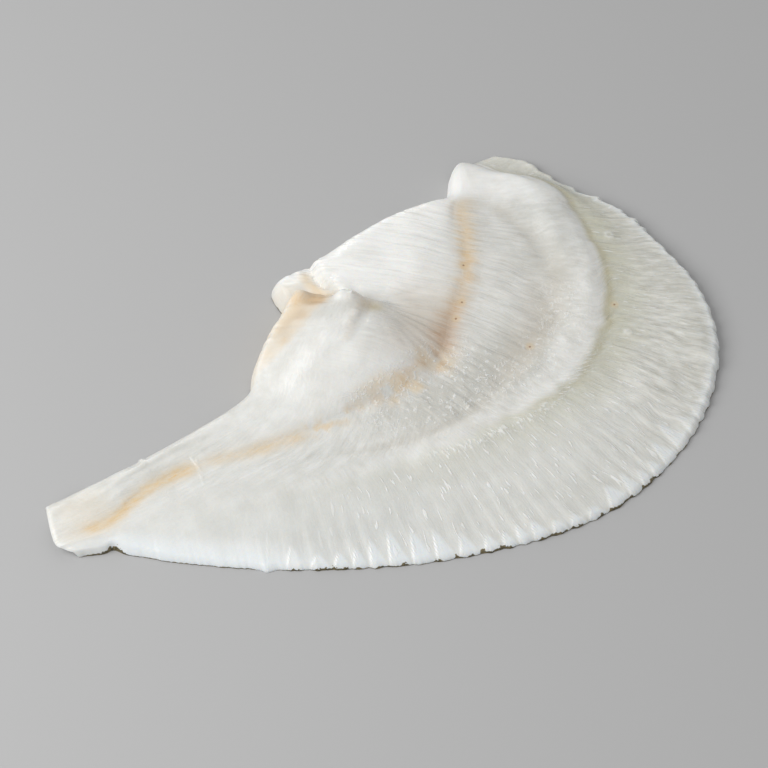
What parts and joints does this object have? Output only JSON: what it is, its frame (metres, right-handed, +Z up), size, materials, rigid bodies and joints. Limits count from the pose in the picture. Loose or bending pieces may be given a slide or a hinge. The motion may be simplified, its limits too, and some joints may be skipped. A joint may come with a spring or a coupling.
{
  "type": "turbot fillet",
  "caption": "Raw white turbot fillet lying skin side down: half-moon outline with a narrow tail, a folded lump of loin, a pale roll and a ridged fringe of fin muscle.",
  "frame": {"origin": "middle of the flat underside of the fillet's box, where it lies on the table", "axes": "+X from the tail to the head, +Y towards the cut back edge, +Z up"},
  "size_m": [0.2608, 0.1618, 0.0263],
  "materials": {
    "flesh": "moist raw white fish flesh, satin to glossy"
  },
  "bodies": {
    "root": {"fillet": "flesh"}
  },
  "joints": []
}
